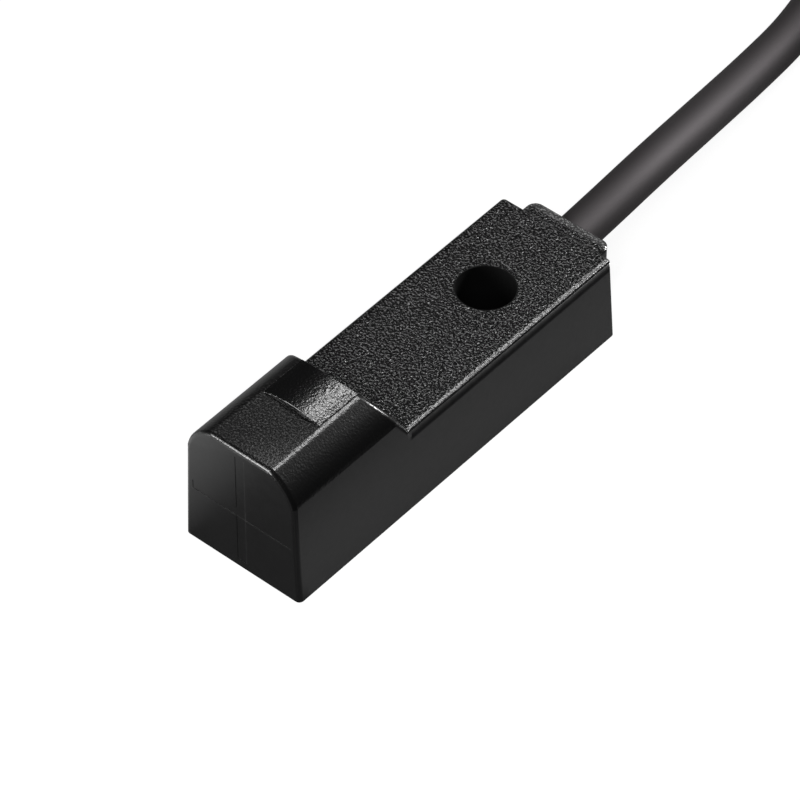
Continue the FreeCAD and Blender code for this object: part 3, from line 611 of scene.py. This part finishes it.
def make_sky():
    """White to the camera, and a weak even light to everything else."""
    world = bpy.data.worlds.new("sky")
    bpy.context.scene.world = world
    world.use_nodes = True
    sky = Nodes(world.node_tree)
    seen = sky.node("ShaderNodeLightPath", out="Is Camera Ray")
    weak = sky.node("ShaderNodeBackground", Color=WHITE, Strength=SKY_LEVEL)
    full = sky.node("ShaderNodeBackground", Color=WHITE, Strength=1.0)
    both = sky.node("ShaderNodeMixShader", seen, weak, full)
    sky.node("ShaderNodeOutputWorld", Surface=both)


def make_lamp(name, way, distance, size, level):
    """A lamp of that width and height, at that distance; level is the share of a full plain
    light that it gives to a surface facing it."""
    lamp = bpy.data.lights.new(name, "AREA")
    lamp.shape = "RECTANGLE"
    lamp.size, lamp.size_y = size
    lamp.energy = level * (math.pi * distance) ** 2
    item = bpy.data.objects.new(name, lamp)
    bpy.context.scene.collection.objects.link(item)
    way = Vector(way).normalized()
    facing = way.to_track_quat("Z", "Y").to_matrix().to_4x4()
    item.matrix_world = Matrix.Translation(way * distance) @ facing
    for ray in HIDDEN_FROM.get(name, ()):
        setattr(item, "visible_" + ray, False)
    return item


make_sky()
lamps = {row[0]: make_lamp(*row) for row in LAMPS}
lamps["strip"].location += STRIP_SHIFT
print("lamps:", ", ".join(lamps))

# %% [markdown]
# ## Plain finishes
# Most of the pieces are sealed in resin, yet each has its own finish. They differ in what the
# surface shows: a cloudy casting, fired grains, lines left by a lathe or a die, the weave of
# the glass cloth under a board's lacquer, or the ribs of a cable tie. Each could have a tree
# of its own. One function makes them all, because they only differ in a pattern and sizes.


# %% Patterns of the plain finishes
BAND_SCALE = 0.05


def waves(finish, scale, way, distortion=0.0):
    """Soft bands along an axis, which repeat after about six times the scale."""
    return finish.node("ShaderNodeTexWave", out="Fac",
                       settings={"wave_type": "BANDS", "bands_direction": way},
                       Vector=finish.place, Scale=BAND_SCALE / (scale * MM), Distortion=distortion)


def cloudy(finish, scale):
    """A casting's soft clouds."""
    return finish.noise(1 / scale, detail=3.0)


def grainy(finish, scale):
    """Pressed or fired grains."""
    return finish.cells(1 / scale)


def lined(finish, scale):
    """Fine lines round the Y axis, broken up by a little noise."""
    return waves(finish, scale, "Y", 0.8) * 0.7 + finish.noise(4.0) * 0.3


def woven(finish, scale):
    """Glass cloth: two sets of threads that cross."""
    threads = waves(finish, scale, "X", 0.3) * waves(finish, scale, "Y", 0.3)
    return threads * 0.8 + finish.noise(3.0) * 0.2


def ribbed(finish, scale):
    """Ribs across a strap that climbs over the coil."""
    return waves(finish, scale, "X") * 0.8 + finish.noise(3.0) * 0.2


print("patterns:", ", ".join(item.__name__ for item in (cloudy, grainy, lined, woven, ribbed)))

# %% Make the plain finishes
SHADE_SPREAD = 0.25
GLOSS_SPREAD = 0.2


def plain(name, pattern, scale, colour, rough, metal=0.0, depth=0.004):
    """A finish whose colour, gloss and relief all follow one pattern, as large as scale in mm."""
    finish = Finish(name)
    grain = pattern(finish, scale)
    dark = tuple(channel * (1 - SHADE_SPREAD) for channel in colour)
    light = tuple(min(1.0, channel * (1 + SHADE_SPREAD)) for channel in colour)
    finish.show(finish.plastic(
        Base_Color=finish.blend(grain, dark, light), Metallic=metal,
        Roughness=grain * GLOSS_SPREAD + (rough - GLOSS_SPREAD / 2),
        Normal=finish.relief(grain, depth)))
    return finish.material


SLOT_FINISHES = {
    "resin": plain("resin_cast", cloudy, 1.2, (0.012, 0.012, 0.013), 0.3, depth=0.02),
    "ferrite": plain("ferrite_sintered", grainy, 0.08, (0.05, 0.05, 0.055), 0.6, depth=0.008),
    "spool_plastic": plain("spool_moulded", cloudy, 0.3, (0.72, 0.68, 0.56), 0.5),
    "copper_wire": plain("copper_enamelled", cloudy, 0.2, (0.72, 0.3, 0.1), 0.25, metal=0.9),
    "board": plain("board_lacquer", woven, 0.4, (0.03, 0.16, 0.06), 0.35, depth=0.006),
    "lamp": plain("lamp_resin", cloudy, 0.4, (0.8, 0.72, 0.3), 0.2),
    "chip_plastic": plain("chip_moulded", grainy, 0.06, (0.03, 0.03, 0.033), 0.6),
    "capacitor": plain("capacitor_fired", grainy, 0.1, (0.45, 0.3, 0.18), 0.5),
    "solder": plain("solder_bright", cloudy, 0.15, (0.55, 0.55, 0.57), 0.4, metal=1.0),
    "ring_metal": plain("ring_brass", lined, 0.08, (0.68, 0.48, 0.2), 0.35, metal=1.0),
    "wire_brown": plain("wire_brown_skin", cloudy, 0.3, (0.16, 0.06, 0.025), 0.4),
    "wire_black": plain("wire_black_skin", cloudy, 0.3, (0.02, 0.02, 0.02), 0.4),
    "wire_blue": plain("wire_blue_skin", cloudy, 0.3, (0.02, 0.09, 0.35), 0.4),
    "strand_copper": plain("strand_copper", lined, 0.1, (0.78, 0.4, 0.22), 0.3, metal=1.0),
    "tie_plastic": plain("tie_moulded", ribbed, 0.5, (0.015, 0.015, 0.016), 0.65, depth=0.03),
}
for shade, wire in free_wires.items():
    wire.data.materials.append(SLOT_FINISHES["wire_" + shade])
tinned.data.materials.append(SLOT_FINISHES["solder"])
print("plain finishes:", len(SLOT_FINISHES))

# %% [markdown]
# ## The jacket
# The jacket is soft black plastic with a dull, slightly warm skin. One even colour would do
# from afar, but it would look painted. So fine grain breaks its gloss up, and a broad cloud
# of slightly lighter colour runs along it.

# %% Make the jacket's finish
JACKET_DARK = (0.008, 0.0072, 0.007)
JACKET_LIGHT = (0.0115, 0.0105, 0.0102)
JACKET_TINT = (1.0, 0.92, 0.96)
JACKET_GRAIN = 14.0
JACKET_CLOUD = 0.5


def jacket_finish():
    """Dull soft plastic that mirrors a little warm light."""
    finish = Finish("jacket_matt")
    fine = finish.noise(JACKET_GRAIN, detail=3.0, rough=0.6)
    broad = finish.noise(JACKET_CLOUD)
    finish.show(finish.plastic(
        Base_Color=finish.blend(broad, JACKET_DARK, JACKET_LIGHT), Roughness=fine * 0.1 + 0.62,
        Normal=finish.relief(fine, 0.004), Specular_IOR_Level=0.4, Specular_Tint=JACKET_TINT))
    return finish.material


cable.data.materials.append(jacket_finish())
print("jacket:", cable.data.materials[0].name)

# %% [markdown]
# ## The housing
# The CAD mesh of the housing is loose triangles, whose edges would all look sharp. Shading
# them all smooth would make the flats look swollen. So a copy is merged and its normals are
# weighted by area: flats stay flat and rounded edges turn smoothly.


# %% Smooth copies of moulded nodes
SMOOTH_ANGLE = math.radians(32)
AREA_WEIGHT = 60
SAME_CORNER = 0.0005 * MM
NO_EDGE = 0.0002 * MM


def smooth_copy(node, name, shape=None):
    """A merged copy of a CAD node with smooth rounded edges and flat faces."""
    mesh = bpy.data.objects[node].data.copy()
    mesh.name = name
    work = bmesh.new()
    work.from_mesh(mesh)
    bmesh.ops.remove_doubles(work, verts=work.verts, dist=SAME_CORNER)
    bmesh.ops.dissolve_degenerate(work, edges=work.edges, dist=NO_EDGE)
    for face in work.faces:
        face.smooth = True
    if shape:
        shape(work)
    for edge in work.edges:
        turn = edge.calc_face_angle(0.0)
        edge.smooth = len(edge.link_faces) == 2 and turn < SMOOTH_ANGLE
    work.to_mesh(mesh)
    work.free()
    piece = bpy.data.objects.new(name, mesh)
    bpy.context.scene.collection.objects.link(piece)
    weighted = piece.modifiers.new("weighted", "WEIGHTED_NORMAL")
    weighted.keep_sharp = True
    weighted.weight = AREA_WEIGHT
    graph = bpy.context.evaluated_depsgraph_get()
    done = bpy.data.meshes.new_from_object(piece.evaluated_get(graph))
    piece.modifiers.clear()
    piece.data = done
    piece.data.materials.clear()
    print(name, len(done.polygons), "faces")
    return piece


FACE_Y = -13.75
SENSE_HEIGHT = 4.15
MARK_DEPTH = 0.05
MARK_LEFT = 0.45
MARK_HALF = 0.31
MARK_NEAR = 0.005
MARK_ABOVE = 0.3


def soften_mark(work):
    """The centring cross is worn: less than half of its depth is left."""
    for vertex in work.verts:
        depth = vertex.co.y / MM - FACE_Y
        if abs(depth - MARK_DEPTH) < MARK_NEAR and vertex.co.z / MM > MARK_ABOVE:
            vertex.co.y = (FACE_Y + MARK_DEPTH * MARK_LEFT) * MM


housing = smooth_copy("housing", "housing_shell", shape=soften_mark)
window = smooth_copy("indicator_window", "window_lens")

# %% [markdown]
# ## The housing's finish
# The mould is spark-eroded, so the top has coarse pits whose rims catch the light. The drafted
# sides and the sensing face are a smooth satin with faint clouds, and the bore is dull. Three
# shaders are mixed by where the surface faces and lies. Real pits would take millions of
# faces, so the grain bends the normals instead. The glints on the side of each grain that
# faces the rear are painted as pale specks, because the smallest facets are finer than a
# picture's points. The boss's top has a painted sheen, and two edges of the centring cross
# have painted highlights. A height that falls away near an edge stands for the worn roundness
# of the edge.

# %% Skin of the eroded top
# Each zone: its edge and the width of its soft step, in millimetres, but the first two are
# shares of facing up.
FACES_UP = (0.14, 0.06)
FLAT = (0.93, 0.05)
RAMP_FOOT = (-4.6, 0.3)
ABOVE_BOSS = (5.5, 0.1)
# The boss's top, where a painted sheen lies.
BOSS_SHEEN_ZONE = (13.2, 0.2)
REAR_SEAM = (12.27, 0.04)
SIDE_WORN = (3.55, 0.2)
SIDE_ROLL = 3.45
REAR_ROLL = 12.2
PIT_SIZE = 7.5
GRAIN_SIZE = 6.5
SPECK_SIZE = 7.6
SPECK_BREAKS = 11.0
SPECK_OFFSET = (-0.02 * MM, 0.07 * MM, 0.0)
RISE_GAIN, RISE_CUT = 15.0, 0.7
BREAK_EDGE = (0.52, 0.3)
SPECK_GAIN = 1.6
SPECK_DARK = (0.0025, 0.0025, 0.0026)
# Pale colour of the glints painted on the grains.
PAINTED_GLINT = (0.24, 0.24, 0.24)
# Painted sheen of the boss's top, which stands in for the light it catches.
BOSS_PAINTED_SHEEN = (0.22, 0.22, 0.22)
# Shares of painted glints on the head, and what the low part and the boss add to it.
HEAD_GLINTS, LOW_GLINTS, BOSS_GLINTS = 0.22, 0.36, 0.7
# Depths of the grain in millimetres: on the head, and what the low part adds to it.
HEAD_DEPTH, LOW_DEPTH = 0.011, 0.010
# How fast the worn edges fall away, at the sides and at the rear.
SIDE_FALL, REAR_FALL = 0.6, 0.9
# Roughness of the low part, and what the head, worn sides and the seam add to it.
LOW_ROUGH, HEAD_ROUGHER, WORN_ROUGHER, SEAM_ROUGHER = 0.21, 0.08, 0.08, 0.3


def eroded_height(finish):
    """Pits and grain of the eroded mould, from 0 to about 1.5."""
    grain = finish.noise(GRAIN_SIZE, detail=1.5)
    return grain + finish.cells(PIT_SIZE) * 0.5


def painted_glints(finish, amount):
    """Black, with painted glints: pale specks on the sides of the grains that face the rear."""
    here = finish.noise(SPECK_SIZE, detail=1.5)
    ahead = finish.node("ShaderNodeVectorMath", finish.place, SPECK_OFFSET,
                        settings={"operation": "ADD"})
    there = finish.noise(SPECK_SIZE, detail=1.5, place=ahead)
    rise = ((here - there) * RISE_GAIN - RISE_CUT).clamped()
    fine = finish.noise(SPECK_BREAKS).above(*BREAK_EDGE)
    shown = (rise * fine * SPECK_GAIN).clamped() * amount
    return finish.blend(shown, SPECK_DARK, PAINTED_GLINT)


def eroded_skin(finish, low_part, across, along, high):
    """Skin of the top with painted glints: coarser on the low part, whose edges are worn, and with
    a painted sheen on the boss's top.
    """
    low_top = high.above(*ABOVE_BOSS)
    boss_top = along.above(*BOSS_SHEEN_ZONE) * (1 - low_top)
    seam = along.above(*REAR_SEAM) * low_top
    amount = low_part * LOW_GLINTS + boss_top * BOSS_GLINTS + HEAD_GLINTS
    # The grains' glints are painted into the base colour.
    glinted_colour = painted_glints(finish, amount * finish.facing("Z").above(*FLAT) * (1 - seam))
    worn = across.above(*SIDE_WORN) * low_part
    beside = (across - SIDE_ROLL).most(0.0)
    behind = (along - REAR_ROLL).most(0.0) * low_top
    rolled = (beside * beside * SIDE_FALL + behind * behind * REAR_FALL) * low_part
    height = eroded_height(finish) * (low_part * LOW_DEPTH + HEAD_DEPTH) - rolled
    duller = (1 - low_part) * HEAD_ROUGHER + worn * WORN_ROUGHER + seam * SEAM_ROUGHER
    return finish.plastic(
        # The boss's top is blended a little towards its painted sheen.
        Base_Color=finish.blend(boss_top * 0.2, glinted_colour, BOSS_PAINTED_SHEEN),
        Roughness=duller + LOW_ROUGH, Normal=finish.relief(height, 1.0))


print("skin:", SPECK_SIZE, "specks per mm")

# %% Satin of the walls
WALL_DARK = (0.0025, 0.0025, 0.0026)
WALL_LIGHT = (0.0065, 0.0065, 0.0068)
# Pale colour of the highlights painted on the cross's lit walls.
MARK_PAINTED_HIGHLIGHT = (0.06, 0.06, 0.06)
# The line's half width and the ends of the cross, each with the width of its soft step.
MARK_LINE = (0.03, 0.03)
MARK_BOTTOM = (0.5, 0.1)
MARK_TOP = (8.33, 0.1)
MARK_SIDE = (3.5, 0.1)
ON_FACE = (-13.5, 0.1)
UNDER_EDGE = 4.95
UNDER_FALL = 0.8
SATIN_SIZE = 2.5
SATIN_DEPTH = 0.003
SATIN_ROUGH = 0.28
CLOUD_SIZE = 0.9


def painted_mark_highlights(finish, across, along, high):
    """Painted highlights: thin pale lines at the right and lower edges of the cross's bands, whose
    walls face the light, as far as the cross reaches.
    """
    upright = 1 - (finish.axis("X") - MARK_HALF).size().above(*MARK_LINE)
    upright = upright * high.above(*MARK_BOTTOM) * (1 - high.above(*MARK_TOP))
    level = 1 - (high - (SENSE_HEIGHT - MARK_HALF)).size().above(*MARK_LINE)
    level = level * (1 - across.above(*MARK_SIDE))
    return (upright + level).clamped() * (1 - along.above(*ON_FACE))


def satin_walls(finish, low_part, across, along, high):
    """Smooth plastic with faint clouds and painted highlights along the cross; it turns in softly
    under the low part's edge.
    """
    satin = finish.noise(SATIN_SIZE, detail=3.0)
    under_edge = (high - UNDER_EDGE).most(0.0) * low_part
    height = satin * SATIN_DEPTH - under_edge * under_edge * UNDER_FALL
    cloud = finish.noise(CLOUD_SIZE, detail=4.0, rough=0.6)
    tint = finish.blend(cloud, WALL_DARK, WALL_LIGHT)
    # Painted highlights along the right and lower edges of the cross.
    tint = finish.blend(painted_mark_highlights(finish, across, along, high) * cloud, tint, MARK_PAINTED_HIGHLIGHT)
    return finish.plastic(Base_Color=tint, Roughness=satin * 0.1 + SATIN_ROUGH,
                          Normal=finish.relief(height, 1.0))


print("walls: cross lines at", MARK_HALF, "mm from its middle")

# %% Make the housing's finish
BORE_Y = 6.28
BORE_RIM = (1.76, 0.04)
BORE_BLACK = (0.002, 0.002, 0.002)


def housing_finish():
    """Smooth plastic on the walls, an eroded skin on all that faces up, and a dull bore."""
    finish = Finish("housing_eroded")
    across, along, high = finish.axis("X").size(), finish.axis("Y"), finish.axis("Z")
    low_part = along.above(*RAMP_FOOT)
    finish.show(satin_walls(finish, low_part, across, along, high))
    skin = eroded_skin(finish, low_part, across, along, high)
    finish.mix(finish.facing("Z").above(*FACES_UP), skin)
    bore = finish.plastic(Base_Color=BORE_BLACK, Roughness=0.7, Specular_IOR_Level=0.1)
    from_axis = (across * across + (along - BORE_Y) * (along - BORE_Y)) ** 0.5
    finish.mix(1 - from_axis.above(*BORE_RIM), bore)
    return finish.material


housing.data.materials.append(housing_finish())
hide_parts("housing")
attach(housing, "root")
print("housing:", housing.data.materials[0].name)

# %% [markdown]
# ## The window
# The window over the lamp is a smoked insert, so dark that it looks black until the lamp is
# lit. It could be made of glass, but nothing can be seen through it, and it would take long to
# render. So it is black and glossy, with a shallow grain that breaks the bright patch up.


# %% Make the window's finish
WINDOW_BLACK = (0.002, 0.002, 0.0021)
WINDOW_ROUGH = 0.25
WINDOW_DEPTH = 0.018


def window_finish():
    """Near-black gloss with the shallow grain of its own mould."""
    finish = Finish("window_gloss")
    height = eroded_height(finish)
    finish.show(finish.plastic(Base_Color=WINDOW_BLACK, Roughness=WINDOW_ROUGH,
                               Normal=finish.relief(height, WINDOW_DEPTH)))
    return finish.material


window.data.materials.append(window_finish())
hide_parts("indicator_window")
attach(window, "root")
print("window:", window.data.materials[0].name)

# %% [markdown]
# ## The sensing coil's winding
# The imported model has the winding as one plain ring. The real one is enamelled wire, laid turn
# beside turn in layers. A bump could draw its lines, but the turns are round and touch each
# other. So the outer layer is a helix made by Geometry Nodes, and the layers under it are a
# sleeve whose surface it touches.

# %% Wind the sensing coil
WIRE_TURN = 0.141
LAYER_RADIUS = 2.18
WOUND_FROM = -12.75
WOUND_LENGTH = 1.55
SLEEVE = (1.1, 2.13)
HELIX_POINTS = 36
WIRE_SIDES = 8
SLEEVE_SIDES = 48


def winding_tree():
    """A helix of round wire about the Y axis."""
    tree, given = new_tree("winding_layer", (
        ("Radius", "Float"), ("Turns", "Float"), ("Length", "Float"), ("Wire", "Float"),
        ("Start", "Vector")))
    helix = add(tree, "GeometryNodeCurveSpiral", Resolution=HELIX_POINTS,
                Rotations=given["Turns"], Start_Radius=given["Radius"],
                End_Radius=given["Radius"], Height=given["Length"])
    section = add(tree, "GeometryNodeCurvePrimitiveCircle", Resolution=WIRE_SIDES,
                  Radius=given["Wire"])
    wire = add(tree, "GeometryNodeCurveToMesh", Curve=helix, Profile_Curve=section,
               Fill_Caps=True)
    laid = add(tree, "GeometryNodeTransform", Geometry=wire, Translation=given["Start"],
               Rotation=(-math.pi / 2, 0, 0))
    close_tree(tree, given, laid)
    return tree


def sleeve(name, inner, outer, start, length, height):
    """A closed tube about a line along Y, in millimetres."""
    work = bmesh.new()
    end = start + length
    rows = []
    for radius, y in ((inner, start), (outer, start), (outer, end), (inner, end)):
        row = []
        for index in range(SLEEVE_SIDES):
            turn = 2 * math.pi * index / SLEEVE_SIDES
            spot = (radius * math.cos(turn), y, height + radius * math.sin(turn))
            row.append(work.verts.new([value * MM for value in spot]))
        rows.append(row)
    for here, there in zip(rows, rows[1:] + rows[:1]):
        for index in range(SLEEVE_SIDES):
            after = (index + 1) % SLEEVE_SIDES
            work.faces.new((here[index], here[after], there[after], there[index]))
    bmesh.ops.recalc_face_normals(work, faces=work.faces)
    mesh = bpy.data.meshes.new(name)
    work.to_mesh(mesh)
    work.free()
    piece = bpy.data.objects.new(name, mesh)
    bpy.context.scene.collection.objects.link(piece)
    return piece


layer = grow("winding_wire", winding_tree(), {
    "Radius": LAYER_RADIUS * MM, "Turns": (WOUND_LENGTH - WIRE_TURN) / WIRE_TURN,
    "Length": (WOUND_LENGTH - WIRE_TURN) * MM, "Wire": WIRE_TURN / 2 * MM,
    "Start": (0.0, (WOUND_FROM + WIRE_TURN / 2) * MM, SENSE_HEIGHT * MM)})
core = sleeve("winding_sleeve", *SLEEVE, WOUND_FROM, WOUND_LENGTH, SENSE_HEIGHT)
winding = join("winding_turns", [layer, core])
winding.data.materials.append(SLOT_FINISHES["copper_wire"])
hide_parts("coil_winding")
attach(winding, "root")

# %% [markdown]
# ## The ties and the sealed pieces
# The two ties are moulded straps round the cable's coil. They could be swept anew, but their
# CAD shape is right, so they are merged copies with smooth corners. The remaining CAD nodes
# keep their shape too and only take their finish.

# %% Smooth the ties
ties = smooth_copy("coil_ties", "tie_bands")
ties.data.materials.append(SLOT_FINISHES["tie_plastic"])
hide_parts("coil_ties")
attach(ties, "root")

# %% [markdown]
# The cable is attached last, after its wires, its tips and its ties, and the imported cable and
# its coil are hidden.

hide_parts("cable", "cable_coil")
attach(cable, "root")
print("cable declared with", len(free_wires) + 2, "pieces")

# %% Dress the remaining nodes
dressed = []
for part in frame["record"]["subparts"]:
    node = bpy.data.objects.get(part["node"])
    skin = SLOT_FINISHES.get(part["material_slot"])
    if node is None or skin is None:
        continue
    node.data.materials.clear()
    node.data.materials.append(skin)
    dressed.append(node.name)
print("dressed:", len(dressed), "nodes")

# %% [markdown]
# ## Finish
# The picture's values are shown as they are, without a film's curve, so that white stays
# white.

# %% Finish
bpy.context.scene.view_settings.view_transform = "Standard"
